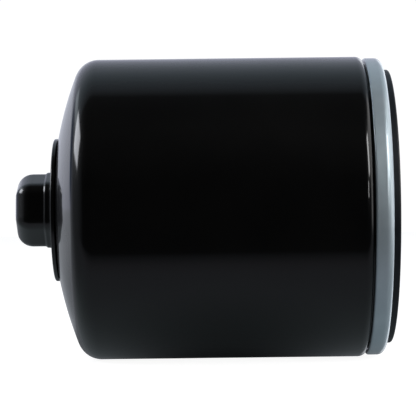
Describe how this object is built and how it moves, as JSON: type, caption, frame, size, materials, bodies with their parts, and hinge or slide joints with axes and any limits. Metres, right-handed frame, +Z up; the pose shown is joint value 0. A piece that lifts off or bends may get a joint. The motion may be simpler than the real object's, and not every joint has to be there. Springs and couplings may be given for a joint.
{
  "type": "spin-on oil filter",
  "caption": "Spin-on oil filter: gloss black drawn can with a hexagon nut on its domed end, zinc seam ring, threaded base plate and rubber sealing ring at the other.",
  "frame": {"origin": "centre of the gasket's sealing face, on the filter's axis", "axes": "+X along the axis, out of the threaded end; the nut points to -X; +Z up as it lies on its side"},
  "size_m": [0.0947, 0.076, 0.076],
  "materials": {
    "black_paint": "gloss black paint on drawn steel",
    "nut_paint": "gloss black paint",
    "zinc_sheet": "blue-passivated zinc on rolled sheet",
    "plate_steel": "pressed, tapped and zinc plated",
    "gasket_rubber": "moulded nitrile, lightly oiled",
    "seam_compound": "cured sealing compound",
    "silicone": "satin moulded silicone",
    "seal_rubber": "moulded nitrile",
    "cap_steel": "tinplate",
    "tube_steel": "punched tinplate",
    "potting": "cured adhesive",
    "filter_paper": "resin-treated pleated paper",
    "clip_steel": "folded tinplate strip",
    "valve_steel": "pressed steel",
    "spring_steel": "oil-tempered spring steel"
  },
  "bodies": {
    "housing": {"can": "black_paint", "wrench_nut": "nut_paint", "tapping_plate": "plate_steel", "seam_cover": "zinc_sheet", "seam_compound": "seam_compound", "mounting_gasket": "gasket_rubber", "neck_seal": "seal_rubber"},
    "element": {"base_end_cap": "cap_steel", "base_potting": "potting", "center_tube": "tube_steel", "pleated_media": "filter_paper", "media_seam_clip": "clip_steel", "dome_potting": "potting", "dome_end_cap": "cap_steel", "bypass_seat": "valve_steel", "bypass_cage": "valve_steel", "support_spring": "spring_steel"},
    "bypass_poppet": {"bypass_plunger": "valve_steel", "bypass_seal": "seal_rubber", "bypass_spring": "spring_steel"},
    "drainback_flap": {"drainback_valve": "silicone"}
  },
  "joints": [
    {"name": "element_float", "type": "slide", "parent": "housing", "child": "element", "axis": [-1, 0, 0], "range_m": [0, 0.0012], "stiffness_N_per_m": 5000, "springref_m": -0.004, "deforming": ["support_spring"]},
    {"name": "bypass_open", "type": "slide", "parent": "element", "child": "bypass_poppet", "axis": [1, 0, 0], "range_m": [0, 0.003], "stiffness_N_per_m": 500, "springref_m": -0.004, "deforming": ["bypass_spring"]},
    {"name": "drainback_lift", "type": "slide", "parent": "housing", "child": "drainback_flap", "axis": [-1, 0, 0], "range_m": [0, 0.0012], "stiffness_N_per_m": 100, "springref_m": -0.002}
  ]
}
